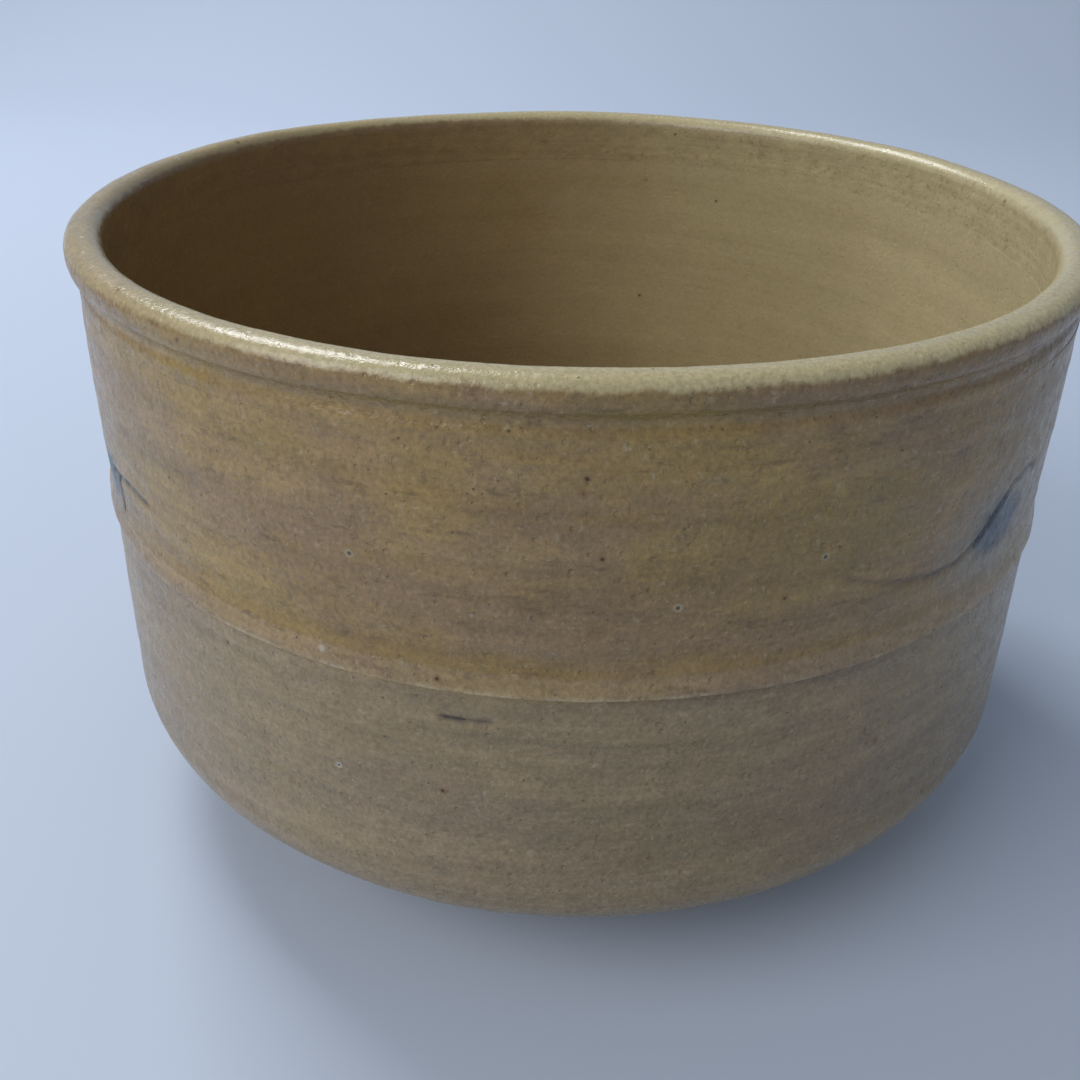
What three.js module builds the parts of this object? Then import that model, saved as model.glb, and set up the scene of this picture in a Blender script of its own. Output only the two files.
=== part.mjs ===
// A half-cylinder tea bowl for whisked tea, in millimetres, +Z up. The origin is the middle of the circle
// that the foot stands on. Each clay member and each coat of glaze is a ring or a cup turned about +Z.
import * as THREE from "three";

// ---- Driving dimensions ----
const BOWL_HEIGHT = 78; // from the table to the crest of the lip
const CREST_RADIUS = 59; // circle that the crest of the lip runs on
const LIP_REACH = 2.2; // from the crest circle out to the lip's widest line, glazed
const LIP_INSIDE = 1.9; // from the crest circle in to the wall inside, glazed
const LIP_RISE = 2; // from the lip's widest line up to its crest, glazed
const GROOVE_DROP = 1.9; // from the lip's widest line down to the groove under the lip
const GROOVE_INSET = 1.2; // from the lip's widest line in to the bottom of the groove
const NECK_DROP = 9.7; // from the crest down to where the wall has its full radius
const WALL_INSET = 0.6; // from the lip's widest line in to the wall at that height
const BAND_DROP = 31.9; // from the crest down to the lower edge of the waist band
const BAND_HEIGHT = 2.4; // from that edge up to where the band dies into the wall
const BAND_PROUD = 0.6; // of the band's lower edge over the wall above it
const BAND_BLUNT = 0.3; // height of the band's blunt lower edge
const BAND_SEAT = 0.8; // depth of the channel in the wall that the band is pressed into
const UPPER_FLARE = 0.35; // growth of the wall's radius from the neck to the waist
const WAIST_STEP = 0.25; // growth of the wall's radius across the waist band
const LOWER_FLARE = 0.9; // growth of the wall's radius from the waist to the shoulder
const SHOULDER_HEIGHT = 20.5; // from the table up to where the wall starts to turn in
const SHOULDER_RADIUS = 8.8; // of the turn from the wall to the underside
const FOOT_RADIUS = 29.5; // of the foot ring where it meets the underside
const FOOT_HEIGHT = 5.5; // from the table up to the underside at that radius
const FOOT_WIDTH = 5; // of the foot ring's standing face
const FOOT_DRAFT = 1; // that the foot ring tapers in on each side towards the table
const BARE_CLAY = 3; // left unglazed round the foot ring
const WALL = 1.9; // clay wall at the neck, its thinnest
const FLOOR = 6.5; // clay floor at the middle
const CORNER_RADIUS = 18; // between the clay wall and the clay floor, inside
const POOL_RADIUS = 16; // of the shallow pool in the middle of the floor
const POOL_DEPTH = 0.8;
const GLAZE = 0.5; // thickness of both coats of glaze
const JOIN = 0.3; // clearance between members that the firing joins

// ---- Fineness of the facets ----
const AROUND = 48; // facets round the bowl
const ARC_STEPS = 6; // facets to a round stretch of an outline
const POOL_STEPS = 4; // facets across the pool's slope
const ON_AXIS = 0;
const QUARTER_TURN = Math.PI / 2;

// ---- Lines that several members share ----
const lipWidest = BOWL_HEIGHT - LIP_RISE; // height of the widest line of the lip
const coat = GLAZE + JOIN; // from a glazed face to the clay behind it
const neckHeight = BOWL_HEIGHT - NECK_DROP;
const neckRadius = CREST_RADIUS + LIP_REACH - WALL_INSET;
const grooveHeight = lipWidest - GROOVE_DROP;
const grooveRadius = CREST_RADIUS + LIP_REACH - GROOVE_INSET;
const bandFoot = BOWL_HEIGHT - BAND_DROP;
const bandTop = bandFoot + BAND_HEIGHT;
const waistRadius = neckRadius + UPPER_FLARE;
const bandRadius = waistRadius + BAND_PROUD;
const lowerWaistRadius = waistRadius + WAIST_STEP;
const shoulderWallRadius = lowerWaistRadius + LOWER_FLARE;
const shoulderCentre = new THREE.Vector2(shoulderWallRadius - SHOULDER_RADIUS, SHOULDER_HEIGHT);
const footJoint = new THREE.Vector2(FOOT_RADIUS, FOOT_HEIGHT);
const footInnerRadius = FOOT_RADIUS - FOOT_WIDTH - 2 * FOOT_DRAFT;
const undersideSlope = slopeFromPointToCircle(footJoint, shoulderCentre, SHOULDER_RADIUS);

// Angle below the horizontal at which the line from a point near the foot runs in to touch the shoulder.
function slopeFromPointToCircle(point, centre, radius) {
  const toCentre = centre.clone().sub(point);
  return toCentre.angle() - Math.asin(radius / toCentre.length());
}

// ---- Outlines, as points (distance from the axis, height) ----
const at = (radius, height) => new THREE.Vector2(radius, height);

// Points of a round stretch, from one angle to another, measured anticlockwise from the outward direction.
function roundStretch(centre, reach, rise, from, to, steps = ARC_STEPS) {
  const curve = new THREE.EllipseCurve(centre.x, centre.y, reach, rise, from, to, to < from);
  return curve.getPoints(steps);
}

// Height, inside the underside by a depth, of the straight stretch from the shoulder to the foot.
function undersideHeight(radius, depth) {
  const rise = (radius - footJoint.x) * Math.tan(undersideSlope);
  return footJoint.y + rise + depth / Math.cos(undersideSlope);
}

// From the middle of the underside's sloping stretch out, round the shoulder and up to the waist.
function lowerOutside(innerRadius, depth) {
  const arcStart = undersideSlope - QUARTER_TURN;
  return [
    at(innerRadius, undersideHeight(innerRadius, depth)),
    ...roundStretch(shoulderCentre, SHOULDER_RADIUS - depth, SHOULDER_RADIUS - depth, arcStart, 0),
    at(lowerWaistRadius - depth, bandFoot - depth),
  ];
}

// The lip's section, inside its glazed face by a depth, on the outside of the crest and on the inside of it.
const lipMiddle = at(CREST_RADIUS, lipWidest);
function lipOutside(depth, from, to) {
  return roundStretch(lipMiddle, LIP_REACH - depth, LIP_RISE - depth, from, to);
}
function lipInside(depth, from, to) {
  return roundStretch(lipMiddle, LIP_INSIDE - depth, LIP_RISE - depth, from, to);
}

// From the floor's middle out and up the inside wall to just under the lip. Depth is measured from the clay
// into the bowl. The floor has a shallow pool in the middle, where the last of the tea gathers.
const innerLipRadius = CREST_RADIUS - LIP_INSIDE + coat;
const innerWallRadius = neckRadius - coat - WALL;
const floorHeight = undersideHeight(footInnerRadius, coat) + FLOOR;
const cornerCentre = at(innerWallRadius - CORNER_RADIUS, floorHeight + CORNER_RADIUS);
function inside(depth, topHeight) {
  const corner = CORNER_RADIUS - depth;
  const poolFloor = floorHeight - POOL_DEPTH + depth;
  const poolEdge = floorHeight + depth;
  const pool = new THREE.CubicBezierCurve(
    at(ON_AXIS, poolFloor),
    at(POOL_RADIUS / 2, poolFloor),
    at(POOL_RADIUS / 2, poolEdge),
    at(POOL_RADIUS, poolEdge),
  );
  return [
    ...pool.getPoints(POOL_STEPS),
    ...roundStretch(cornerCentre, corner, corner, -QUARTER_TURN, 0),
    at(innerWallRadius - depth, neckHeight),
    at(innerLipRadius - depth, topHeight),
  ];
}

// ---- Members ----
// Turns a closed outline, given anticlockwise, about +Z.
function turned(name, outline, material) {
  const closed = outline[0].x === ON_AXIS ? outline : [...outline, outline[0]];
  const geometry = new THREE.LatheGeometry(closed, AROUND);
  geometry.rotateX(Math.PI / 2);
  const mesh = new THREE.Mesh(geometry, material);
  mesh.name = name;
  return mesh;
}

const clay = new THREE.MeshStandardMaterial({ color: 0xb09a7a, roughness: 0.9, metalness: 0 });
const outerCoat = new THREE.MeshStandardMaterial({ color: 0x97886a, roughness: 0.45, metalness: 0 });
const innerCoat = new THREE.MeshStandardMaterial({ color: 0x8a7a50, roughness: 0.35, metalness: 0 });

// The clay under the lip roll is flat, and the wall's flat top sits a join below it.
const rollFoot = lipWidest - (LIP_RISE - coat) / 2;
const rollFootAngle = Math.asin((rollFoot - lipWidest) / (LIP_RISE - coat));
const wallTop = rollFoot - JOIN;
const seatRadius = waistRadius - coat - BAND_SEAT;

// The thrown wall and floor, with the channel that the waist band is pressed into.
function clayBody() {
  return [
    at(ON_AXIS, undersideHeight(footInnerRadius, coat)),
    ...lowerOutside(footInnerRadius, coat),
    at(waistRadius - coat, bandFoot + GLAZE),
    at(seatRadius, bandFoot + GLAZE),
    at(seatRadius, bandTop),
    at(waistRadius - coat, bandTop),
    at(neckRadius - coat, neckHeight),
    at(grooveRadius - coat, wallTop),
    ...inside(0, wallTop).reverse(),
  ];
}

// The roll of clay along the lip: the top of an ellipse on a flat foot.
function lipRoll() {
  return [
    ...lipOutside(coat, rollFootAngle, QUARTER_TURN).slice(0, -1),
    ...lipInside(coat, QUARTER_TURN, Math.PI - rollFootAngle),
  ];
}

// The cord of clay round the waist: upright in its channel, sloping outside up into the wall.
function waistBand() {
  const back = seatRadius + JOIN;
  const foot = bandFoot + coat;
  const top = bandTop - JOIN;
  return [
    at(back, foot),
    at(bandRadius - coat - JOIN / 2, foot),
    at(waistRadius - coat - JOIN / 2, top),
    at(back, top),
  ];
}

// The ring that the bowl stands on, tapered towards the table, its top along the underside.
function footRing() {
  const depth = coat - JOIN;
  return [
    at(footInnerRadius + FOOT_DRAFT, 0),
    at(FOOT_RADIUS - FOOT_DRAFT, 0),
    at(FOOT_RADIUS, undersideHeight(FOOT_RADIUS, depth)),
    at(footInnerRadius, undersideHeight(footInnerRadius, depth)),
  ];
}

// The coat outside, from the bare clay by the foot up over the band to the crest of the lip.
function outerGlaze() {
  const edge = FOOT_RADIUS + BARE_CLAY;
  const underLip = -QUARTER_TURN / 2;
  const face = [
    ...lowerOutside(edge, 0),
    at(bandRadius, bandFoot),
    at(bandRadius, bandFoot + BAND_BLUNT),
    at(waistRadius, bandTop),
    at(neckRadius, neckHeight),
    at(grooveRadius, grooveHeight),
    ...lipOutside(0, underLip, QUARTER_TURN),
  ];
  const back = [
    ...lowerOutside(edge, GLAZE),
    at(lowerWaistRadius - GLAZE, bandFoot + GLAZE),
    at(bandRadius - GLAZE, bandFoot + GLAZE),
    at(waistRadius - GLAZE, bandTop),
    at(neckRadius - GLAZE, neckHeight),
    at(grooveRadius - GLAZE, grooveHeight),
    ...lipOutside(GLAZE, rollFootAngle, QUARTER_TURN),
  ];
  return [...face, ...back.reverse()];
}

// The coat inside, from the pool up to the crest of the lip, where it meets the coat outside.
function innerGlaze() {
  const crest = QUARTER_TURN + JOIN / LIP_INSIDE;
  const underLip = rollFoot - JOIN;
  const face = [...inside(coat, underLip), ...lipInside(0, Math.PI, crest)];
  const back = [...inside(JOIN, underLip), ...lipInside(GLAZE, Math.PI, crest)];
  return [...back, ...face.reverse()];
}

const bowl = new THREE.Group();
bowl.add(
  turned("clay_body", clayBody(), clay),
  turned("lip_roll", lipRoll(), clay),
  turned("waist_band", waistBand(), clay),
  turned("foot_ring", footRing(), clay),
  turned("outer_glaze", outerGlaze(), outerCoat),
  turned("inner_glaze", innerGlaze(), innerCoat),
);

export default bowl;
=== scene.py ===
# A half-cylinder tea bowl in yellow ash glaze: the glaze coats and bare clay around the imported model.
from math import asin, atan2, cos, hypot, pi, radians, sin, tan

import bpy
from mathutils import Matrix, Quaternion, Vector


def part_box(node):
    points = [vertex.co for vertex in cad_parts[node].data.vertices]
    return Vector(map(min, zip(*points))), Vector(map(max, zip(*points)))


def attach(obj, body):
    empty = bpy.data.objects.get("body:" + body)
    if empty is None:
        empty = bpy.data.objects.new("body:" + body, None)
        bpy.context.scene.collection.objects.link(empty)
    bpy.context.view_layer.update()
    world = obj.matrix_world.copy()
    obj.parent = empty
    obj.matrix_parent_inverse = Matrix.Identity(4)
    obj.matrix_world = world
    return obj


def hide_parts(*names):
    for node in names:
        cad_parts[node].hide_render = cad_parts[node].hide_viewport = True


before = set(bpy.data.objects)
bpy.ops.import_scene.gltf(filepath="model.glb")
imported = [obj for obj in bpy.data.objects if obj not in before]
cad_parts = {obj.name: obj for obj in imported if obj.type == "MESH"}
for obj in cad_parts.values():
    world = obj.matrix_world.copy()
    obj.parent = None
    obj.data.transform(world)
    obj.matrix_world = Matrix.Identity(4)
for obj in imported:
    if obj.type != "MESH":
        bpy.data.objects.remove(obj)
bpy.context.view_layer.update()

MM = 0.001
QUARTER = pi / 2

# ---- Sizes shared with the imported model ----
COAT = 0.8 * MM  # glaze and joint together, from a glazed face to the clay
JOIN = 0.3 * MM
LIP_REACH = 2.2 * MM
LIP_INSIDE = 1.9 * MM
LIP_RISE = 2.0 * MM
roll_low, roll_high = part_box("lip_roll")
band_low, band_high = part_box("waist_band")
glaze_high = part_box("outer_glaze")[1]
foot_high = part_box("foot_ring")[1]
well_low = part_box("inner_glaze")[0]
body_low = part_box("clay_body")[0]

CREST = glaze_high[2]
CREST_RADIUS = roll_high[0] - (LIP_REACH - COAT)
SHOULDER_WALL = glaze_high[0]
BAND_FOOT = band_low[2] - COAT
BAND_RADIUS = band_high[0] + COAT + JOIN / 2
FOOT_RADIUS = foot_high[0]
POOL_FLOOR = well_low[2] + 0.5 * MM
RECESS = body_low[2]

# ---- Sizes of the fine surface ----
SEAM_OUT = CREST - 6.5 * MM  # where the lip's coat meets the wall's outside
SEAM_IN = CREST - 7.5 * MM  # where it meets the coat inside
GROOVE_DROP = 3.9 * MM
GROOVE_RADIUS = CREST_RADIUS + 1.0 * MM
NECK_DROP = 9.7 * MM
NECK_RADIUS = CREST_RADIUS + 1.6 * MM
WAIST_RADIUS = BAND_RADIUS - 0.6 * MM
BAND_TOP = BAND_FOOT + 2.4 * MM
UNDER_BAND_RADIUS = WAIST_RADIUS + 0.25 * MM
UNDER_BAND = BAND_FOOT - 0.6 * MM
SHOULDER_HEIGHT = 20.5 * MM
SHOULDER_RADIUS = 8.8 * MM
FOOT_JOINT = 5.5 * MM
FOOT_INNER = FOOT_RADIUS - 7 * MM
GLAZE_LINE = FOOT_RADIUS + 3 * MM
INNER_WALL = CREST_RADIUS - LIP_INSIDE
INNER_CORNER = 17.2 * MM
FLOOR = POOL_FLOOR + 0.8 * MM
POOL_RADIUS = 16 * MM
SKIN = 0.45 * MM  # thickness of the coats of glaze
LIP_MIDDLE = (CREST_RADIUS, CREST - LIP_RISE)
CORNER_CENTRE = (INNER_WALL - INNER_CORNER, FLOOR + INNER_CORNER)

# Lines cut in the soft clay, as (degrees round the bowl, height in mm): two grass stems, a cut run below
# the left one, darkened with painted shade, a scrape under the waist band and a short drag mark above it.
RIGHT_STEM = [
    (294, 57.0), (298, 55.3), (302, 54.2), (306, 53.5), (310, 53.6),
    (313, 54.9), (316, 57.3), (318.5, 59.2), (322, 60), (324, 59.3),
]
LEFT_STEM = [(212, 53.7), (214.5, 54), (218, 54.6), (221, 54.7), (223.4, 54.5)]
LEFT_SHADE_RUN = [(214.4, 53.6), (214.6, 51.6), (214.3, 49.6)]
SCRAPE = [(259.2, 42.8), (261, 42.65), (262.6, 42.7), (263.8, 42.9)]
DRAG = [(266.3, 56.3), (267.6, 55.7), (268.7, 55.3)]
LINES = (RIGHT_STEM, LEFT_STEM, LEFT_SHADE_RUN, SCRAPE, DRAG)

# Single marks in the glaze outside, placed the same way: larger iron spots, and pinholes with a pale rim.
IRON_SPOTS = [(271.5, 69.1), (273, 61.4), (259.1, 47.4)]
PINHOLES = [(279.6, 56.1), (251.3, 59.2), (292.7, 59.5)]

# Blue-green stains, as (degrees, height in mm, radius in mm).
STAINS = [(317.0, 55.2, 4.6), (210.0, 52.4, 3.4)]


# ================================================================ node trees
class Graph:
    """Adds nodes to a tree and links them as they are made."""

    def __init__(self, tree):
        self.tree = tree

    def node(self, kind, sockets=None, **settings):
        made = self.tree.nodes.new(kind)
        for name, value in settings.items():
            setattr(made, name, value)
        for key, value in (sockets or {}).items():
            self.feed(made.inputs[key], value)
        return made

    def feed(self, socket, value):
        if isinstance(value, bpy.types.NodeSocket):
            self.tree.links.new(value, socket)
        else:
            socket.default_value = value

    def math(self, operation, *values):
        return self.node("ShaderNodeMath", dict(enumerate(values)), operation=operation).outputs[0]

    def total(self, *values):
        result = values[0]
        for value in values[1:]:
            result = self.math("ADD", result, value)
        return result

    def product(self, *values):
        result = values[0]
        for value in values[1:]:
            result = self.math("MULTIPLY", result, value)
        return result

    def vector(self, operation, *values):
        made = self.node("ShaderNodeVectorMath", operation=operation)
        for socket, value in zip(made.inputs, values):
            self.feed(socket, value)
        return made.outputs["Value" if operation in {"LENGTH", "DOT_PRODUCT", "DISTANCE"} else "Vector"]

    def scaled(self, vector, factor):
        made = self.node("ShaderNodeVectorMath", {0: vector, "Scale": factor}, operation="SCALE")
        return made.outputs["Vector"]

    def combine(self, x, y, z):
        return self.node("ShaderNodeCombineXYZ", {0: x, 1: y, 2: z}).outputs[0]

    def separate(self, vector):
        return self.node("ShaderNodeSeparateXYZ", {0: vector}).outputs

    def noise(self, vector, scale=1.0, detail=2.0, roughness=0.5, distortion=0.0):
        sockets = {
            "Vector": vector,
            "Scale": scale,
            "Detail": detail,
            "Roughness": roughness,
            "Distortion": distortion,
        }
        return self.node("ShaderNodeTexNoise", sockets).outputs["Fac"]

    def sway(self, vector, scale=1.0, detail=2.0, roughness=0.5):
        """Noise from about -1 to 1."""
        centred = self.math("SUBTRACT", self.noise(vector, scale, detail, roughness), 0.5)
        return self.math("MULTIPLY", centred, 3.0)

    def span(self, value, low, high, to_low=0.0, to_high=1.0, smooth=True):
        """Maps low..high to to_low..to_high, flat beyond both ends."""
        sockets = {"Value": value, 1: low, 2: high, 3: to_low, 4: to_high}
        kind = "SMOOTHSTEP" if smooth else "LINEAR"
        return self.node("ShaderNodeMapRange", sockets, interpolation_type=kind).outputs[0]

    def hill(self, value, middle, width):
        """1 at the middle, falling smoothly to 0 about two widths away."""
        away = self.math("DIVIDE", self.math("SUBTRACT", value, middle), width)
        return self.math("EXPONENT", self.math("MULTIPLY", self.math("MULTIPLY", away, away), -1.0))

    def mix(self, factor, first, second):
        """A blend of two colours. Sockets 0, 6 and 7 are the factor and the two colours."""
        return self.node("ShaderNodeMix", {0: factor, 6: first, 7: second}, data_type="RGBA").outputs[2]

    def brighten(self, colour, factor):
        return self.scaled(colour, factor)


def tone(red, green, blue):
    """A colour given as it looks on a screen, 0 to 255, as the linear colour that nodes take."""

    def linear(value):
        value /= 255
        return value / 12.92 if value <= 0.04045 else ((value + 0.055) / 1.055) ** 2.4

    return (linear(red), linear(green), linear(blue), 1.0)


# ================================================================ turned surfaces
WELD = 1e-6  # points nearer than this are one point
CREASE = 50  # degrees; an edge that bends more than this is a rim, not a smooth surface


def turning_tree():
    """Turns an outline of loose edges in the XZ plane about Z, and gives the surface its hand-made form.

    Each outline point carries its outward direction, how much of the fine form it takes (1 on a face that
    shows, 0 on a back), and how far it slides along the surface with the wave of a glaze line.
    """
    tree = bpy.data.node_groups.new("turn_on_wheel", "GeometryNodeTree")
    face = tree.interface
    face.new_socket("Geometry", in_out="INPUT", socket_type="NodeSocketGeometry")
    for name, kind in (
        ("Rows", "NodeSocketInt"),
        ("Around", "NodeSocketInt"),
        ("Crest Height", "NodeSocketFloat"),
        ("Oval", "NodeSocketFloat"),
        ("Oval Turn", "NodeSocketFloat"),
        ("Out Of Round", "NodeSocketFloat"),
        ("Lip Wave", "NodeSocketFloat"),
        ("Throwing Rings", "NodeSocketFloat"),
        ("Ring Pitch", "NodeSocketFloat"),
        ("Dents", "NodeSocketFloat"),
        ("Lumps", "NodeSocketFloat"),
        ("Strokes", "NodeSocketObject"),
        ("Stroke Depth", "NodeSocketFloat"),
        ("Stroke Width", "NodeSocketFloat"),
        ("Material", "NodeSocketMaterial"),
    ):
        face.new_socket(name, in_out="INPUT", socket_type=kind)
    face.new_socket("Geometry", in_out="OUTPUT", socket_type="NodeSocketGeometry")

    g = Graph(tree)
    given = g.node("NodeGroupInput").outputs
    columns = g.math("ADD", given["Around"], 1)
    sheet = g.node("GeometryNodeMeshGrid", {"Vertices X": given["Rows"], "Vertices Y": columns})
    index = g.node("GeometryNodeInputIndex").outputs[0]
    row = g.math("FLOOR", g.math("DIVIDE", g.math("ADD", index, 0.5), columns))
    column = g.math("SUBTRACT", index, g.math("MULTIPLY", row, columns))
    angle = g.math("MULTIPLY", g.math("DIVIDE", column, given["Around"]), 2 * pi)
    across, along = g.math("COSINE", angle), g.math("SINE", angle)

    def from_outline(value, kind="FLOAT_VECTOR"):
        sockets = {"Geometry": given["Geometry"], "Index": row}
        taken = g.node("GeometryNodeSampleIndex", sockets, data_type=kind, domain="POINT")
        g.feed(next(s for s in taken.inputs if s.name == "Value" and s.enabled), value)
        return next(s for s in taken.outputs if s.enabled)

    def carried(name, kind):
        taken = g.node("GeometryNodeInputNamedAttribute", {"Name": name}, data_type=kind)
        return from_outline(next(s for s in taken.outputs if s.enabled and s.name == "Attribute"), kind)

    def swung(vector):
        outward, _, upward = g.separate(vector)
        return g.combine(g.product(outward, across), g.product(outward, along), upward)

    place = swung(from_outline(g.node("GeometryNodeInputPosition").outputs[0]))
    outward = swung(carried("outward", "FLOAT_VECTOR"))
    slide = swung(carried("slide", "FLOAT_VECTOR"))
    fine = carried("fine", "FLOAT")

    # Out of round: slightly oval, wandering in and out towards the lip, and the lip rising and falling.
    x, y, z = g.separate(place)
    aim = g.vector("NORMALIZE", g.combine(x, y, 0.0))
    towards_lip = g.math("DIVIDE", z, given["Crest Height"])
    turns = g.math("MULTIPLY", g.math("SUBTRACT", angle, given["Oval Turn"]), 2.0)
    oval = g.product(g.math("COSINE", turns), given["Oval"])
    wander = g.product(g.sway(aim, 1.6, 1.0), given["Out Of Round"])
    lift = g.product(g.sway(g.vector("ADD", aim, (4.0, 0.0, 0.0)), 1.3, 1.0), given["Lip Wave"])
    lift = g.product(lift, g.math("POWER", towards_lip, 3.0))
    sideways = g.scaled(aim, g.product(g.total(oval, wander), towards_lip))
    drift = g.vector("ADD", sideways, g.combine(0.0, 0.0, lift))
    drift = g.vector("ADD", drift, g.scaled(slide, g.sway(aim, 3.5, 3.0)))

    # Rings left by the fingers, soft dents, and lumps in the glaze.
    ring_at = g.combine(g.product(x, 12.0), g.product(y, 12.0), g.math("DIVIDE", z, given["Ring Pitch"]))
    rings = g.product(g.sway(ring_at, 1.0, 2.0, 0.4), given["Throwing Rings"])
    dents = g.product(g.sway(place, 70.0, 1.0), given["Dents"])
    lumps = g.product(g.sway(place, 420.0, 1.0), given["Lumps"], fine)

    # Strokes cut in the soft clay: a rounded channel along each line, with a low burr beside it.
    strokes = g.node("GeometryNodeObjectInfo", {"Object": given["Strokes"]})
    near = g.node("GeometryNodeProximity", target_element="EDGES")
    g.feed(near.inputs[0], strokes.outputs["Geometry"])
    g.feed(near.inputs["Sample Position"], place)
    away = near.outputs["Distance"]
    channel = g.hill(away, 0.0, given["Stroke Width"])
    burr = g.product(g.hill(away, g.product(given["Stroke Width"], 2.2), given["Stroke Width"]), 0.3)
    cut = g.product(g.math("SUBTRACT", channel, burr), given["Stroke Depth"], fine)
    amount = g.math("SUBTRACT", g.total(rings, dents, lumps), cut)
    final = g.vector("ADD", g.vector("ADD", place, drift), g.scaled(outward, amount))

    worked = g.node("GeometryNodeSetPosition", {"Geometry": sheet.outputs["Mesh"], "Position": final})
    marked = g.node(
        "GeometryNodeStoreNamedAttribute",
        {"Geometry": worked.outputs[0], "Name": "stroke_distance", "Value": away},
        data_type="FLOAT",
        domain="POINT",
    )
    closed = g.node("GeometryNodeMergeByDistance", {"Geometry": marked.outputs[0], "Distance": WELD})
    facing = g.node("GeometryNodeFlipFaces", {0: closed.outputs[0]})
    smooth = g.node("GeometryNodeSetShadeSmooth", {0: facing.outputs[0]}, domain="FACE")
    bend = g.node("GeometryNodeInputMeshEdgeAngle").outputs["Unsigned Angle"]
    creased = g.math("GREATER_THAN", bend, radians(CREASE))
    sharp = {0: smooth.outputs[0], "Selection": creased, "Shade Smooth": False}
    edged = g.node("GeometryNodeSetShadeSmooth", sharp, domain="EDGE")
    real = g.node("GeometryNodeRealizeInstances", {0: edged.outputs[0]})
    painted = g.node("GeometryNodeSetMaterial", {0: real.outputs[0], "Material": given["Material"]})
    g.node("NodeGroupOutput", {0: painted.outputs[0]})
    return tree


def polyline(name, lines):
    """An object of loose edges through the points of each line."""
    mesh = bpy.data.meshes.new(name)
    points, edges = [], []
    for line in lines:
        edges += [(len(points) + i, len(points) + i + 1) for i in range(len(line) - 1)]
        points += line
    mesh.from_pydata(points, edges, [])
    made = bpy.data.objects.new(name, mesh)
    bpy.context.scene.collection.objects.link(made)
    return made


def outward_of(line, i):
    """The direction square to a line of (radius, height) points, on its right. Upright on the axis."""
    before, after = line[max(0, i - 1)], line[min(len(line) - 1, i + 1)]
    along = Vector((after[0] - before[0], after[1] - before[1])).normalized()
    if line[i][0] == 0.0:
        return (0.0, 0.0, -1.0 if along.x > 0 else 1.0)
    return (along.y, 0.0, -along.x)


def turn(name, face, back, material, around, wave=(), **form):
    """Makes a closed piece by turning a face and a back, both of (radius, height) points.

    The face runs anticlockwise round the section, so its outside is on its right. The back runs from the
    face's end to its start. wave gives how far each of the first face points slides with the glaze line.
    """
    tree = bpy.data.node_groups.get("turn_on_wheel") or turning_tree()
    on_axis = face[0][0] == 0.0 or face[-1][0] == 0.0
    loop = [*face, *back] if on_axis else [*face, *back, face[0]]
    blank = polyline(name + "_outline", [[(r, 0.0, z) for r, z in loop]])
    directions = [outward_of(face, i) for i in range(len(face))]
    directions += [outward_of(back, i) for i in range(len(back))]
    directions += [] if on_axis else [directions[0]]
    fine = [1.0] * len(face) + [0.0] * len(back) + ([] if on_axis else [1.0])
    if loop[-1] == face[0]:
        directions[-1], fine[-1] = directions[0], fine[0]
    slides = [(0.0, 0.0, 0.0)] * len(loop)
    for i, (reach, rise) in enumerate(wave):
        slides[i] = (reach, 0.0, rise)
    if wave:
        slides[-1] = slides[0]
        slides[len(loop) - 2] = slides[0]
    for label, values in (("outward", directions), ("slide", slides)):
        layer = blank.data.attributes.new(label, "FLOAT_VECTOR", "POINT")
        layer.data.foreach_set("vector", [c for v in values for c in v])
    blank.data.attributes.new("fine", "FLOAT", "POINT").data.foreach_set("value", fine)
    modifier = blank.modifiers.new("turn", "NODES")
    modifier.node_group = tree
    sizes = {"Rows": len(loop), "Around": around, "Material": material, "Crest Height": CREST}
    sizes.update(form)
    for item in tree.interface.items_tree:
        if item.in_out == "INPUT" and item.name in sizes:
            modifier[item.identifier] = sizes[item.name]
    bpy.context.view_layer.update()
    evaluated = blank.evaluated_get(bpy.context.evaluated_depsgraph_get())
    mesh = bpy.data.meshes.new_from_object(evaluated)
    mesh.name = name
    piece = bpy.data.objects.new(name, mesh)
    bpy.context.scene.collection.objects.link(piece)
    bpy.data.objects.remove(blank)
    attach(piece, "root")
    return piece


# ---- Outlines ----
def arc(centre, reach, rise, start, end, steps):
    """Points of an ellipse's stretch, angles in radians, anticlockwise from the outward direction."""
    turns = [start + (end - start) * i / steps for i in range(steps + 1)]
    return [(centre[0] + reach * cos(t), centre[1] + rise * sin(t)) for t in turns]


def squared_arc(reach, start, end, fullness, steps):
    """Points over the lip; a fullness of 2 is an ellipse, and more is squarer."""
    points = []
    for t in (start + (end - start) * i / steps for i in range(steps + 1)):
        across, up = cos(t), sin(t)
        side = -1 if across < 0 else 1
        wide = side * abs(across) ** (2 / fullness)
        tall = max(0.0, up) ** (2 / fullness)
        points.append((CREST_RADIUS + reach * wide, CREST - LIP_RISE + LIP_RISE * tall))
    return points


def flow(points, spacing):
    """A smooth line through points, at about an even spacing."""
    spots = [Vector(p) for p in points]
    gaps = [(b - a).length for a, b in zip(spots, spots[1:])]
    speeds = [(b - a) / gap for a, b, gap in zip(spots, spots[1:], gaps)]
    heads = [speeds[0]]
    for i in range(1, len(spots) - 1):
        heads.append((speeds[i - 1] * gaps[i] + speeds[i] * gaps[i - 1]) / (gaps[i - 1] + gaps[i]))
    heads.append(speeds[-1])
    line = [tuple(spots[0])]
    for i, gap in enumerate(gaps):
        steps = max(1, round(gap / spacing))
        for k in range(1, steps + 1):
            t = k / steps
            spot = spots[i] * (2 * t**3 - 3 * t**2 + 1) + spots[i + 1] * (3 * t**2 - 2 * t**3)
            spot += heads[i] * gap * (t**3 - 2 * t**2 + t) + heads[i + 1] * gap * (t**3 - t**2)
            line.append(tuple(spot))
    return line


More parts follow.
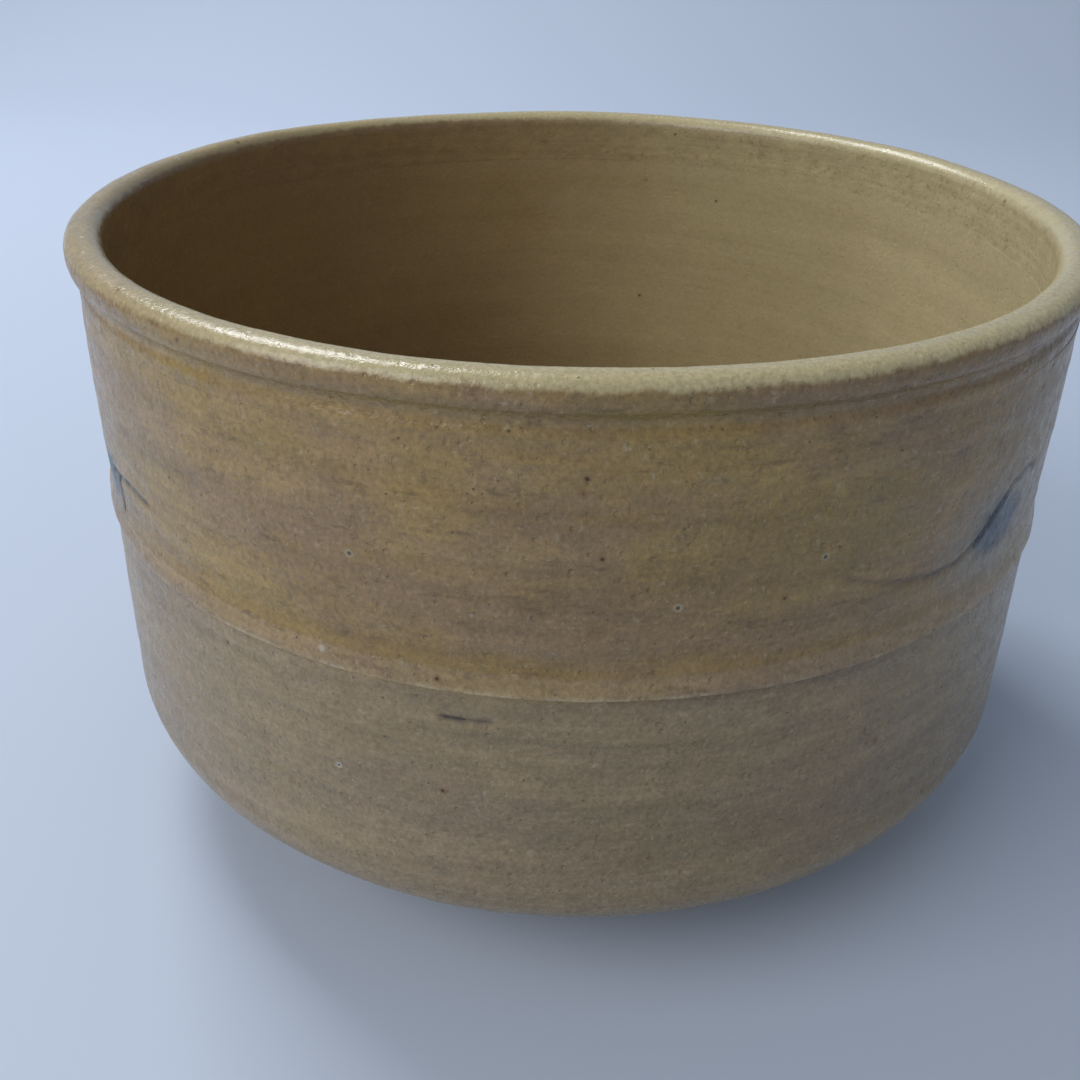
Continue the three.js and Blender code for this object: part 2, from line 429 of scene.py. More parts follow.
def shoulder_slope():
    """Angle of the straight underside from the foot out to where it touches the shoulder's arc."""
    across = SHOULDER_WALL - SHOULDER_RADIUS - FOOT_RADIUS
    up = SHOULDER_HEIGHT - FOOT_JOINT
    return atan2(up, across) - asin(SHOULDER_RADIUS / hypot(across, up))


SLOPE = shoulder_slope()
SHOULDER_CENTRE = (SHOULDER_WALL - SHOULDER_RADIUS, SHOULDER_HEIGHT)


def underside(radius, depth=0.0):
    """A point of the sloping underside, inside its face by a depth."""
    return (radius, FOOT_JOINT + (radius - FOOT_RADIUS) * tan(SLOPE) + depth / cos(SLOPE))


def wall_at(height):
    """Radius of the wall between the neck and the groove."""
    rise = (height - (CREST - NECK_DROP)) / (NECK_DROP - GROOVE_DROP)
    return NECK_RADIUS + (GROOVE_RADIUS + 0.25 * MM - NECK_RADIUS) * max(0.0, rise)


def on_wall(degrees, height):
    """A point on the outside of the wall, at a height in mm."""
    height *= MM
    if height > BAND_TOP:
        rise = (height - BAND_TOP) / (CREST - NECK_DROP - BAND_TOP)
        radius = WAIST_RADIUS + (NECK_RADIUS - WAIST_RADIUS) * min(1.0, rise)
    else:
        drop = (BAND_FOOT - height) / (BAND_FOOT - SHOULDER_HEIGHT)
        radius = UNDER_BAND_RADIUS + (SHOULDER_WALL - UNDER_BAND_RADIUS) * min(1.0, drop)
    return (radius * cos(radians(degrees)), radius * sin(radians(degrees)), height)


# ================================================================ materials
GREY_BROWN, YELLOW_BROWN, OCHRE = tone(149, 123, 89), tone(158, 132, 80), tone(156, 126, 70)
BELOW_WAIST, POOLED_OCHRE = tone(150, 133, 106), tone(150, 122, 62)
# Painted light on the waist band: a pale tan for its upturned face, and a paler line for the highlight along
# its lower edge.
BAND_PAINTED_LIGHT, BAND_EDGE_HIGHLIGHT = tone(172, 150, 120), tone(206, 190, 158)
# Painted shade and light for the inside: dark brown for its -X side, pale olive for its lit +X side.
INSIDE_SHADE_BROWN, INSIDE_LIT_OLIVE = tone(128, 101, 66), tone(192, 180, 140)
STIPPLE_BROWN, SMUDGE_BROWN, SMOKE_GREEN = tone(112, 92, 62), tone(98, 76, 50), tone(112, 110, 94)
LIP_CREAM, PALE_GRAIN = tone(196, 184, 142), tone(190, 180, 154)
SPECK_HALO, SPECK_IRON, FINE_IRON = tone(120, 84, 40), tone(44, 28, 18), tone(66, 48, 32)
RIM_PALE, HOLE_DARK = tone(206, 202, 190), tone(66, 56, 42)
SPOT_HALO, SPOT_IRON = tone(124, 84, 44), tone(48, 30, 18)
PINHOLE_RIM, PINHOLE_DARK = tone(188, 178, 152), tone(62, 50, 38)
# The dark of the cut lines is iron; in the run below the left stem it is painted shade.
STAIN_HAZE, STAIN_BLUE, IRON_INK_AND_SHADE = tone(118, 122, 122), tone(40, 60, 72), tone(56, 48, 42)
CLAY_PALE, CLAY_DARK, CLAY_FLUSH = tone(178, 156, 126), tone(160, 132, 100), tone(158, 98, 58)
SAND, CLAY_IRON = tone(214, 202, 180), tone(66, 42, 28)
CLOTH = tone(200, 211, 228)


def new_material(name):
    material = bpy.data.materials.new(name)
    material.use_nodes = True
    nodes = material.node_tree.nodes
    nodes.clear()
    g = Graph(material.node_tree)
    shader = g.node("ShaderNodeBsdfPrincipled")
    g.node("ShaderNodeOutputMaterial", {"Surface": shader.outputs[0]})
    return material, g, shader


def millimetres(g):
    """The place on the object, in millimetres."""
    return g.scaled(g.node("ShaderNodeTexCoord").outputs["Object"], 1000.0)


def stretched(g, place, across, up, shift=0.0):
    """A place for a pattern that is longer round the bowl than up it: cells per millimetre each way."""
    return g.vector("MULTIPLY_ADD", place, (across, across, up), (shift, shift, shift))


def dots(g, place, size, shift, share, *reaches):
    """Scattered round spots, about one cell of a size apart, in a share of the cells.

    Each reach is a least and a most radius; the spots of all reaches have the same middles. Gives 1 at a
    spot's middle and 0 from its edge outwards, for each reach. Sizes in millimetres.
    """
    sockets = {"Vector": g.vector("ADD", place, (shift, 0.0, 0.0)), "Scale": 1 / size, "Randomness": 1.0}
    cells = g.node("ShaderNodeTexVoronoi", sockets)
    luck, scatter, _ = g.separate(cells.outputs["Color"])
    chosen = g.math("LESS_THAN", luck, share)
    found = []
    for least, most in reaches:
        radius = g.span(scatter, 0.0, 1.0, least / size, most / size, smooth=False)
        spot = g.span(cells.outputs["Distance"], g.product(radius, 0.35), radius, 1.0, 0.0)
        found.append(g.product(spot, chosen))
    return found


def glaze_ground(g, place, inside, within):
    """The glaze's colour before its marks: clouds, ochre where it is thick, streaks, mottle, smudges, and
    painted light and shade.
    """
    x, _, z = g.separate(place)
    band_foot, band_top = BAND_FOOT / MM, BAND_TOP / MM
    clouds = g.span(g.noise(stretched(g, place, 0.045, 0.1), 1.0, 3.0), 0.36, 0.64)
    colour = g.mix(clouds, GREY_BROWN, YELLOW_BROWN)
    patches = g.span(g.noise(stretched(g, place, 0.1, 0.28, 7.0), 1.0, 4.0, 0.6), 0.5, 0.72, 0.0, 0.6)
    colour = g.mix(patches, colour, OCHRE)
    if not inside:
        below = g.span(z, band_foot - 0.8, band_foot - 0.1, 1.0, 0.0)
        colour = g.mix(g.product(below, 0.7), colour, BELOW_WAIST)
        uneven = g.product(g.sway(stretched(g, place, 0.12, 0.3)), 1.6)
        pooled = g.span(g.total(z, uneven), band_top + 0.2, band_top + 3.4, 1.0, 0.0)
        pooled = g.product(pooled, g.span(z, band_top - 0.3, band_top + 0.3))
        colour = g.mix(g.product(pooled, 0.55), colour, POOLED_OCHRE)
        # Painted light on the waist band, whose face turns up to the light: a pale tan between its foot and
        # its top.
        under_top = g.span(z, band_top - 0.2, band_top + 0.4, 1.0, 0.0)
        band_light = g.product(under_top, g.span(z, band_foot - 0.25, band_foot))
        colour = g.mix(g.product(band_light, 0.3), colour, BAND_PAINTED_LIGHT)
        # Painted highlight along the band's crisp lower edge, broken into patches.
        patchy = g.span(g.noise(place, 0.35, 3.0), 0.4, 0.6, 0.05, 0.45)
        colour = g.mix(g.product(g.hill(z, band_foot + 0.2, 0.28), patchy), colour, BAND_EDGE_HIGHLIGHT)
    # Painted light and shade inside: dark brown towards -X, where the inner wall is turned from the light,
    # pale olive towards +X, where it is lit.
    slow = g.product(g.sway(stretched(g, place, 0.04, 0.04)), 12.0)
    inside_light_and_shade = g.mix(g.span(g.total(x, slow), -44.0, 58.0), INSIDE_SHADE_BROWN, INSIDE_LIT_OLIVE)
    colour = g.mix(g.product(within, 0.85), colour, inside_light_and_shade)
    streaks = g.noise(stretched(g, place, 0.035, 1.1, 3.0), 1.0, 3.0, 0.6)
    darkest, palest = (0.97, 1.03) if inside else (0.92, 1.07)
    colour = g.brighten(colour, g.span(streaks, 0.3, 0.7, darkest, palest, smooth=False))

    # Broad rings, and painted shade: the outside is painted lighter towards -X and darker towards +X, away
    # from the light.
    if not inside:
        outer = g.math("SUBTRACT", 1.0, within)
        rings = g.noise(stretched(g, place, 0.03, 0.3, 61.0), 1.0, 3.0, 0.55)
        rings = g.span(rings, 0.36, 0.64, -0.08, 0.06)
        side_shade = g.span(x, -36.0, 6.0, 0.06, -0.11)
        colour = g.brighten(colour, g.total(1.0, g.product(g.total(rings, side_shade), outer)))
    mottle = g.noise(stretched(g, place, 0.3, 0.5, 19.0), 1.0, 5.0, 0.7)
    darkest, palest = (0.96, 1.04) if inside else (0.87, 1.12)
    colour = g.brighten(colour, g.span(mottle, 0.32, 0.68, darkest, palest, smooth=False))
    stipple = g.span(g.noise(place, 1.1, 3.0, 0.6, 0.6), 0.56, 0.66, 0.0, 0.1 if inside else 0.3)
    colour = g.mix(stipple, colour, STIPPLE_BROWN)

    # Brown smudges, fewer below the waist, and grey-green smoke.
    if not inside:
        smudge = g.span(g.noise(stretched(g, place, 0.2, 0.75, 41.0), 1.0, 5.0, 0.68), 0.55, 0.7, 0.0, 0.5)
        smudge = g.product(smudge, outer, g.span(z, band_foot - 2.0, band_foot + 1.0, 0.35, 1.0))
        colour = g.mix(smudge, colour, SMUDGE_BROWN)
        smoke = g.span(g.noise(stretched(g, place, 0.1, 0.42, 83.0), 1.0, 4.0, 0.6), 0.58, 0.76, 0.0, 0.34)
        colour = g.mix(g.product(smoke, outer), colour, SMOKE_GREEN)
    return colour, streaks


def placed_marks(g, place, colour):
    """The single iron spots, each with a warm halo, and the single pinholes, each with a pale rim."""
    x, y, z = g.separate(place)
    level = g.math("DIVIDE", WAIST_RADIUS / MM, g.vector("LENGTH", g.combine(x, y, 0.0)))
    rolled = g.combine(g.product(x, level), g.product(y, level), z)
    spot_layers = (0.6, SPOT_HALO, 0.45), (0.27, SPOT_IRON, 0.85)
    pinhole_layers = (0.6, PINHOLE_RIM, 0.45), (0.3, PINHOLE_DARK, 0.85)
    for places, layers in ((IRON_SPOTS, spot_layers), (PINHOLES, pinhole_layers)):
        for degrees, height in places:
            turned = radians(degrees)
            middle = (WAIST_RADIUS / MM * cos(turned), WAIST_RADIUS / MM * sin(turned), height)
            for size, shade, strength in layers:
                spot = g.span(g.vector("DISTANCE", rolled, middle), size * 0.4, size, strength, 0.0)
                colour = g.mix(spot, colour, shade)
    return colour


def stroke_marks(g, place, colour):
    """Cut strokes: dark iron in the channels, painted shade in the left run, and blue-green copper by the
    stems.
    """
    x, _, z = g.separate(place)
    stored = g.node("ShaderNodeAttribute", attribute_name="stroke_distance")
    away = g.product(stored.outputs["Fac"], 1 / MM)
    broken = g.span(g.noise(place, 0.8, 2.0), 0.3, 0.6, 0.5, 1.0)
    line = g.product(g.hill(away, 0.0, 0.36), broken)
    below = g.span(z, BAND_FOOT / MM - 0.8, BAND_FOOT / MM - 0.1, 1.0, 0.0)
    line_darkness = g.total(g.span(x, -30.0, 0.0, 0.95, 0.3), g.product(below, 0.6))
    for degrees, height, size in STAINS:
        offset = g.vector("SUBTRACT", place, tuple(Vector(on_wall(degrees, height)) / MM))
        offset = g.vector("MULTIPLY", offset, (0.68, 0.68, 1.1))
        ragged = g.product(g.sway(place, 0.5, 4.0, 0.65), 1.5)
        reach = g.total(g.vector("LENGTH", offset), ragged)
        haze = g.span(reach, size * 0.5, size * 2.2, 1.0, 0.0)
        colour = g.mix(g.product(haze, 0.42), colour, STAIN_HAZE)
        stain = g.product(g.span(reach, size * 0.45, size, 1.0, 0.0), 0.92)
        colour = g.mix(stain, colour, STAIN_BLUE)
        line_darkness = g.total(line_darkness, g.product(g.span(reach, size, size * 4.0, 1.0, 0.0), 0.6))
    # Darkens the channels: iron, and painted shade in the run below the left stem.
    return g.mix(g.math("MINIMUM", g.product(line, line_darkness), 0.95), colour, IRON_INK_AND_SHADE)


def glaze_material(name, inside):
    """Yellow ash glaze: mottled, streaked round the bowl, grainy, with iron specks and pinholes."""
    material, g, shader = new_material(name)
    place = millimetres(g)
    x, y, z = g.separate(place)
    radius = g.vector("LENGTH", g.combine(x, y, 0.0))
    crest, inner_wall = CREST / MM, INNER_WALL / MM
    if inside:
        within = 1.0
    else:
        towards_axis = g.span(radius, inner_wall + 0.3, inner_wall + 1.6, 1.0, 0.0)
        within = g.product(towards_axis, g.span(z, crest - 14, crest - 12))
    colour, streaks = glaze_ground(g, place, inside, within)

    # The pale lip, where the coat has run thin over the roll; it is darker towards -X.
    uneven = g.product(g.sway(place, 0.5, 3.0, 0.6), 0.35)
    lip = g.span(g.total(z, uneven), crest - 1.25, crest - 0.6)
    colour = g.mix(g.product(lip, g.span(x, -60.0, -14.0, 0.35, 0.8)), colour, LIP_CREAM)

    # Grain, iron specks with a warm halo, pinholes with a pale rim.
    calm = g.math("SUBTRACT", 1.0, g.product(within, 0.6))
    grain = g.noise(place, 2.0, 3.0, 0.65)
    colour = g.brighten(colour, g.total(1.0, g.product(g.math("SUBTRACT", grain, 0.5), calm, 0.9)))
    pale = g.product(g.span(g.noise(place, 1.3, 2.0, 0.7, 0.4), 0.6, 0.74), calm, 0.3)
    colour = g.mix(pale, colour, PALE_GRAIN)
    share = 0.08 if inside else 0.35
    halo, iron = dots(g, place, 4.0, 0.0, share, (0.25, 0.8), (0.1, 0.34))
    colour = g.mix(g.product(halo, calm, 0.5), colour, SPECK_HALO)
    colour = g.mix(g.product(iron, 0.85), colour, SPECK_IRON)
    (fine_iron,) = dots(g, place, 1.5, 31.0, 0.45, (0.07, 0.2))
    colour = g.mix(g.product(fine_iron, calm, 0.2 if inside else 0.75), colour, FINE_IRON)
    rims, holes = dots(g, place, 8.0, 57.0, share, (0.25, 0.6), (0.1, 0.24))
    colour = g.mix(g.product(rims, calm, 0.55), colour, RIM_PALE)
    colour = g.mix(g.product(holes, 0.9), colour, HOLE_DARK)
    if not inside:
        colour = placed_marks(g, place, colour)
        colour = stroke_marks(g, place, colour)
    g.feed(shader.inputs["Base Color"], colour)

    # Glossier on the lip. The relief is peel, pits, blisters, streaks and pinholes.
    cloudy = g.span(g.noise(place, 0.6, 3.0, 0.6), 0.3, 0.7, 0.22, 0.38)
    g.feed(shader.inputs["Roughness"], g.total(cloudy, g.product(lip, -0.08)))
    cells = g.node("ShaderNodeTexVoronoi", {"Vector": place, "Scale": 0.95})
    peel = g.product(g.noise(place, 1.5, 2.0, 0.6), 0.11 * MM)
    peel = g.total(peel, g.product(cells.outputs["Distance"], 0.05 * MM))
    off_lip = g.math("SUBTRACT", 1.0, g.product(lip, 0.55))
    peel = g.product(peel, calm, g.total(0.3, g.product(off_lip, 0.7)))
    (blisters,) = dots(g, place, 1.1, 71.0, 0.45, (0.12, 0.4))
    pits = g.product(g.noise(place, 4.2, 2.0, 0.6), 0.03 * MM)
    pits = g.total(pits, g.product(blisters, g.product(calm, off_lip), -0.09 * MM))
    lines = g.product(streaks, 0.01 * MM if inside else 0.05 * MM)
    height = g.math("SUBTRACT", g.total(peel, pits, lines), g.product(holes, 0.2 * MM))
    bump = g.node("ShaderNodeBump", {"Height": height, "Distance": 1.0, "Strength": 1.0})
    g.feed(shader.inputs["Normal"], bump.outputs[0])
    return material


def clay_material():
    """Bare stoneware: sandy, flushed orange near the glaze line, with turning marks."""
    material, g, shader = new_material("bare_clay")
    place = millimetres(g)
    x, y, z = g.separate(place)
    radius = g.vector("LENGTH", g.combine(x, y, 0.0))
    clouds = g.noise(place, 0.12, 4.0, 0.6)
    colour = g.mix(g.span(clouds, 0.35, 0.65), CLAY_PALE, CLAY_DARK)
    flush = g.product(g.hill(radius, GLAZE_LINE / MM, 2.4), g.span(clouds, 0.3, 0.6, 0.4, 0.8))
    colour = g.mix(flush, colour, CLAY_FLUSH)
    grain = g.noise(place, 2.6, 4.0, 0.7)
    colour = g.brighten(colour, g.span(grain, 0.3, 0.7, 0.84, 1.14, smooth=False))
    (sand,) = dots(g, place, 1.6, 11.0, 0.4, (0.1, 0.35))
    colour = g.mix(g.product(sand, 0.5), colour, SAND)
    (iron,) = dots(g, place, 3.2, 23.0, 0.3, (0.12, 0.4))
    colour = g.mix(g.product(iron, 0.8), colour, CLAY_IRON)
    g.feed(shader.inputs["Base Color"], colour)
    g.feed(shader.inputs["Roughness"], g.span(grain, 0.3, 0.7, 0.78, 0.95))
    turning = g.product(g.noise(g.combine(radius, z, 0.0), 1.4, 2.0, 0.5), 0.12 * MM)
    height = g.total(turning, g.product(grain, 0.16 * MM), g.product(sand, 0.08 * MM))
    bump = g.node("ShaderNodeBump", {"Height": height, "Distance": 1.0, "Strength": 1.0})
    g.feed(shader.inputs["Normal"], bump.outputs[0])
    return material


outside_glaze = glaze_material("ash_glaze_outside", inside=False)
inside_glaze = glaze_material("ash_glaze_inside", inside=True)
clay = clay_material()


# ================================================================ pieces
strokes = polyline("strokes", [[on_wall(*spot) for spot in line] for line in LINES])
HAND = {
    "Oval": 0.2 * MM,
    "Oval Turn": radians(90),
    "Out Of Round": 0.2 * MM,
    "Lip Wave": 0.25 * MM,
    "Strokes": strokes,
    "Stroke Width": 0.36 * MM,
}
AROUND = 900  # faces round a coat of glaze
CLAY_AROUND = 480  # faces round the clay, which shows only underneath


def lip_piece():
    """The coat over the roll of the lip, from the wall below the groove to the wall inside."""
    below = [
        (wall_at(SEAM_OUT), SEAM_OUT),
        (wall_at(CREST - 5.4 * MM), CREST - 5.4 * MM),
        (GROOVE_RADIUS + 0.03 * MM, CREST - 4.45 * MM),
        (GROOVE_RADIUS + 0.14 * MM, CREST - GROOVE_DROP),
        (GROOVE_RADIUS + 0.52 * MM, CREST - 3.35 * MM),
        (CREST_RADIUS + LIP_REACH - 0.24 * MM, CREST - 2.9 * MM),
        (CREST_RADIUS + LIP_REACH - 0.06 * MM, CREST - 2.5 * MM),
    ]
    roll = squared_arc(LIP_REACH, 0, QUARTER, 2.5, 22)
    roll += squared_arc(LIP_INSIDE, QUARTER, pi, 2.2, 20)[1:]
    inside = [(INNER_WALL, CREST - 4 * MM), (INNER_WALL, SEAM_IN)]
    face = flow([*below, *roll, *inside], 0.24 * MM)
    over = [*arc(LIP_MIDDLE, LIP_INSIDE - SKIN, LIP_RISE - SKIN, pi, QUARTER, 6)]
    over += arc(LIP_MIDDLE, LIP_REACH - SKIN, LIP_RISE - SKIN, QUARTER, -radians(34), 8)[1:]
    back = [
        (INNER_WALL + SKIN, SEAM_IN),
        *over,
        (GROOVE_RADIUS - SKIN, CREST - 4.2 * MM),
        (wall_at(SEAM_OUT) - SKIN, SEAM_OUT),
    ]
    return turn("lip_glaze", face, back, outside_glaze, AROUND, Dents=0.1 * MM, Lumps=0.02 * MM, **HAND)


def upper_wall_piece():
    """The coat over the waist band and the wall above it."""
    cove_in, cove_down, edge_in, edge_up = 0.12 * MM, 0.2 * MM, 0.22 * MM, 0.25 * MM
    cove_middle = (UNDER_BAND_RADIUS + cove_in, BAND_FOOT - cove_down)
    cove = arc(cove_middle, cove_in, cove_down, pi, QUARTER, 4)
    edge = arc((BAND_RADIUS - edge_in, BAND_FOOT + edge_up), edge_in, edge_up, -QUARTER, 0.0, 5)
    slope = [
        (BAND_RADIUS - 0.05 * MM, BAND_FOOT + 0.7 * MM),
        (WAIST_RADIUS + 0.2 * MM, BAND_TOP - 0.1 * MM),
        (WAIST_RADIUS + 0.06 * MM, BAND_TOP + 1.2 * MM),
        (WAIST_RADIUS, BAND_TOP + 3.5 * MM),
    ]
    crook = flow([(UNDER_BAND_RADIUS, UNDER_BAND), *cove, *edge, *slope], 0.3 * MM)
    wall = flow([slope[-1], (NECK_RADIUS, CREST - NECK_DROP), (wall_at(SEAM_OUT), SEAM_OUT)], 0.5 * MM)
    back = [
        (wall_at(SEAM_OUT) - SKIN, SEAM_OUT),
        (NECK_RADIUS - SKIN, CREST - NECK_DROP),
        (WAIST_RADIUS - SKIN, BAND_TOP),
        (BAND_RADIUS - SKIN, BAND_FOOT + SKIN),
        (UNDER_BAND_RADIUS - SKIN, BAND_FOOT + SKIN),
        (UNDER_BAND_RADIUS - SKIN, UNDER_BAND),
    ]
    form = {"Throwing Rings": 0.1 * MM, "Ring Pitch": 3 * MM, "Dents": 0.13 * MM, "Lumps": 0.03 * MM}
    form["Stroke Depth"] = 0.2 * MM
    return turn("upper_wall_glaze", [*crook, *wall[1:]], back, outside_glaze, AROUND, **form, **HAND)


def lower_wall_piece():
    """The coat from the glaze line by the foot, round the shoulder and up to the waist band."""
    half = SKIN / 2
    bead = arc(underside(GLAZE_LINE, half), half, half, -pi + SLOPE, -QUARTER + SLOPE, 4)
    turn_in = arc(SHOULDER_CENTRE, SHOULDER_RADIUS, SHOULDER_RADIUS, SLOPE - QUARTER, 0, 24)
    under = flow([bead[-1], underside(GLAZE_LINE + 3 * MM), turn_in[0]], 1.0 * MM)
    wall = flow([turn_in[-1], (UNDER_BAND_RADIUS, UNDER_BAND)], 0.56 * MM)
    face = [*bead[:-1], *under[:-1], *turn_in, *wall[1:]]
    inner_reach, fade, slip = SHOULDER_RADIUS - SKIN, 6 * MM, 0.9 * MM
    back = [
        (UNDER_BAND_RADIUS - SKIN, UNDER_BAND),
        *arc(SHOULDER_CENTRE, inner_reach, inner_reach, 0, SLOPE - QUARTER, 8),
        underside(GLAZE_LINE + fade, SKIN),
        underside(GLAZE_LINE, SKIN),
    ]
    fall = [max(0.0, 1 - (r - GLAZE_LINE) / fade) for r, z in face[:14]]
    wave = [(slip * f * cos(SLOPE), slip * f * sin(SLOPE)) for f in fall]
    form = {"Throwing Rings": 0.08 * MM, "Ring Pitch": 3.5 * MM, "Dents": 0.12 * MM, "Lumps": 0.02 * MM}
    form["Stroke Depth"] = 0.15 * MM
    return turn("lower_wall_glaze", face, back, outside_glaze, AROUND, wave, **form, **HAND)


def inside_piece():
    """The coat inside, from the lip's down the wall and across the floor with its shallow pool."""
    wall = flow([(INNER_WALL, SEAM_IN), (INNER_WALL, FLOOR + INNER_CORNER)], 1.1 * MM)
    corner = arc(CORNER_CENTRE, INNER_CORNER, INNER_CORNER, 0, -QUARTER, 22)
    pool = [
        (POOL_RADIUS, FLOOR),
        (POOL_RADIUS * 0.55, POOL_FLOOR + 0.3 * MM),
        (POOL_RADIUS * 0.2, POOL_FLOOR),
        (0.0, POOL_FLOOR),
    ]
    floor = flow([corner[-1], *pool], 1.2 * MM)
    floor[-1] = (0.0, POOL_FLOOR)
    face = [*wall, *corner[1:], *floor[1:]]
    outer_corner = INNER_CORNER + SKIN
    back = [
        (0.0, POOL_FLOOR - SKIN),
        (POOL_RADIUS, FLOOR - SKIN),
        *arc(CORNER_CENTRE, outer_corner, outer_corner, -QUARTER, 0, 8),
        (INNER_WALL + SKIN, SEAM_IN),
        face[0],
    ]
    form = {"Throwing Rings": 0.12 * MM, "Ring Pitch": 4 * MM, "Dents": 0.12 * MM, "Lumps": 0.01 * MM}
    return turn("well_glaze", face, back, inside_glaze, AROUND, **form, **HAND)


def clay_body_piece():
    """The thrown clay under the glaze, bare from the glaze line in to the middle."""
    depth = SKIN + 0.05 * MM
    step = 0.5 * MM
    recess = [(0.0, RECESS), (FOOT_INNER * 0.5, RECESS - 0.15 * MM), (FOOT_INNER - step, RECESS)]
    recess = flow(recess, 1.0 * MM)
    recess[0] = (0.0, RECESS)
    slope = [underside(FOOT_INNER + step, COAT), underside(FOOT_RADIUS, COAT), underside(GLAZE_LINE, depth)]
    slope = flow(slope, 0.8 * MM)
    reach = SHOULDER_RADIUS - depth
    turn_in = arc(SHOULDER_CENTRE, reach, reach, SLOPE - QUARTER, 0, 14)
    seat, seat_foot = WAIST_RADIUS - COAT - 0.8 * MM, BAND_FOOT + 0.5 * MM
    outside = [
        (UNDER_BAND_RADIUS - depth, BAND_FOOT - COAT),
        (WAIST_RADIUS - COAT, seat_foot),
        (seat, seat_foot),
        (seat, BAND_TOP),
        (WAIST_RADIUS - depth, BAND_TOP + 0.3 * MM),
        (NECK_RADIUS - depth, CREST - NECK_DROP),
        (GROOVE_RADIUS - COAT, roll_low[2] - JOIN),
    ]
    hollow = INNER_CORNER + depth
    inside = [
        (INNER_WALL + COAT, roll_low[2] - JOIN),
        *arc(CORNER_CENTRE, hollow, hollow, 0, -QUARTER, 12),
        (POOL_RADIUS, FLOOR - depth),
        (0.0, POOL_FLOOR - depth),
    ]
    face = [*recess, *slope, *turn_in, *outside, *inside]
    form = {"Throwing Rings": 0.08 * MM, "Ring Pitch": 3.5 * MM, "Dents": 0.12 * MM, "Lumps": 0.01 * MM}
    return turn("clay_wall_and_floor", face, [], clay, CLAY_AROUND, **form, **HAND)


def foot_piece():
    """The foot ring, trimmed to a flat standing face with softened edges."""
    draft, ease, fillet = 1.0 * MM, 0.7 * MM, 1.3 * MM
    inner, outer = FOOT_INNER + draft, FOOT_RADIUS - draft
    sole = [
        *arc((inner + ease, ease), ease, ease, -pi, -QUARTER, 5),
        *arc((outer - ease, ease), ease, ease, -QUARTER, 0, 5),
    ]
    top = FOOT_RADIUS + fillet
    rim = [
        sole[-1],
        (outer + 0.6 * draft, 3.6 * MM),
        (FOOT_RADIUS + 0.2 * fillet, underside(top)[1] - fillet),
        underside(top, COAT - 0.06 * MM),
    ]
    rim = flow(rim, 0.4 * MM)
    joint = COAT - 0.04 * MM  # just inside the clay body
    face = [*sole, *rim[1:], underside(FOOT_RADIUS, joint), underside(FOOT_INNER, joint)]
    return turn("trimmed_foot", face, [], clay, CLAY_AROUND, **HAND)


lip, upper, lower, well = lip_piece(), upper_wall_piece(), lower_wall_piece(), inside_piece()
body, foot = clay_body_piece(), foot_piece()
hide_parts("clay_body")
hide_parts("foot_ring")
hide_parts("outer_glaze", "inner_glaze")
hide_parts("outer_glaze")
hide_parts("outer_glaze")
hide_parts("inner_glaze")
for node in ("lip_roll", "waist_band"):
    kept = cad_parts[node]
    for part in kept.material_slots:
        part.link = "OBJECT"
        part.material = clay
bpy.data.objects.remove(strokes)


# ================================================================ stage
def softbox(name, degrees, elevation, distance, size, power, colour):
    """A soft light facing the bowl, placed by its angle round from +X and its angle up."""
    light = bpy.data.lights.new(name, "AREA")
    light.shape = "RECTANGLE"
    light.size, light.size_y = size
    light.energy = power
    light.color = colour
    lamp = bpy.data.objects.new(name, light)
    round_to, up_to = radians(degrees), radians(elevation)
    aim = Vector((0, 0, CREST / 2))
    away = Vector((cos(up_to) * cos(round_to), cos(up_to) * sin(round_to), sin(up_to)))
    lamp.location = aim + away * distance
    lamp.rotation_euler = away.to_track_quat("Z", "Y").to_euler()
    bpy.context.scene.collection.objects.link(lamp)


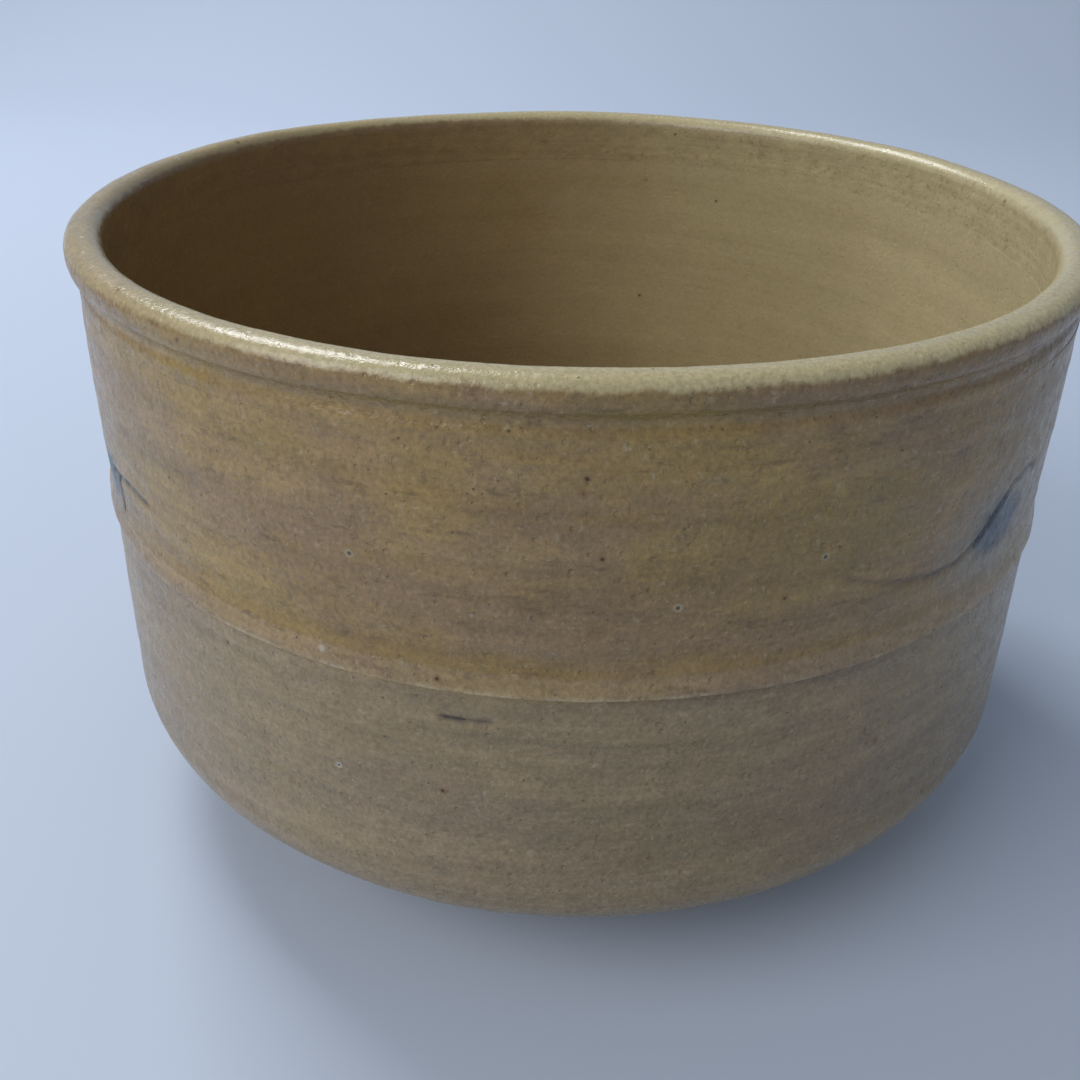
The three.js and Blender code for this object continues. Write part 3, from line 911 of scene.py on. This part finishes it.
def floor_and_light():
    """A pale cloth that sweeps up behind the bowl, a broad window at the left and a skylight behind it."""
    half, sweep, back, top, steps = 3.0, 0.5, 1.0, 2.0, 16
    turns = [t * QUARTER / steps for t in range(steps + 1)]
    curve = [(back - sweep + sweep * sin(t), sweep - sweep * cos(t)) for t in turns]
    section = [(-half, 0.0), *curve, (back, top)]
    mesh = bpy.data.meshes.new("floor")
    points = [(side * half, y, z) for y, z in section for side in (-1, 1)]
    mesh.from_pydata(points, [], [(2 * i, 2 * i + 1, 2 * i + 3, 2 * i + 2) for i in range(len(section) - 1)])
    mesh.polygons.foreach_set("use_smooth", [True] * len(mesh.polygons))
    floor = bpy.data.objects.new("floor", mesh)
    bpy.context.scene.collection.objects.link(floor)
    material, g, shader = new_material("pale_cloth")
    g.feed(shader.inputs["Base Color"], CLOTH)
    shader.inputs["Roughness"].default_value = 0.9
    mesh.materials.append(material)

    softbox("window", 217, 38, 1.1, (0.8, 0.6), 5.0, (0.99, 0.98, 1.0))
    softbox("skylight", 131, 52, 0.9, (0.32, 0.4), 4.0, (0.93, 0.96, 1.0))

    world = bpy.data.worlds.new("room")
    world.use_nodes = True
    background = world.node_tree.nodes["Background"]
    background.inputs["Color"].default_value = (0.84, 0.91, 1.0, 1.0)
    background.inputs["Strength"].default_value = 0.33
    bpy.context.scene.world = world
    bpy.context.scene.view_settings.view_transform = "Standard"


def camera():
    """Looks down over the front of the lip from close by, panned and tilted off it and slightly rolled."""
    distance, elevation = 144.34 * MM, radians(14.16)
    pan, tilt, roll = radians(1.433), radians(-16.826), radians(-1.395)
    aim = Vector((0, 0, CREST - 2.65 * MM))
    offset = Vector((0, -cos(elevation), sin(elevation))) * distance
    forward = -offset.normalized()
    right = Vector((1, 0, 0))
    up = right.cross(forward)
    for axis_name, angle in (("up", pan), ("right", tilt), ("forward", roll)):
        axis = {"up": up, "right": right, "forward": forward}[axis_name]
        spin = Quaternion(axis, angle)
        forward, right, up = spin @ forward, spin @ right, spin @ up
    data = bpy.data.cameras.new("camera")
    data.sensor_width = 36
    data.lens = 36
    data.clip_start = 0.01
    made = bpy.data.objects.new("camera", data)
    turn_matrix = Matrix((right, up, -forward)).transposed().to_4x4()
    made.matrix_world = Matrix.Translation(aim + offset) @ turn_matrix
    bpy.context.scene.collection.objects.link(made)
    bpy.context.scene.camera = made


floor_and_light()
camera()
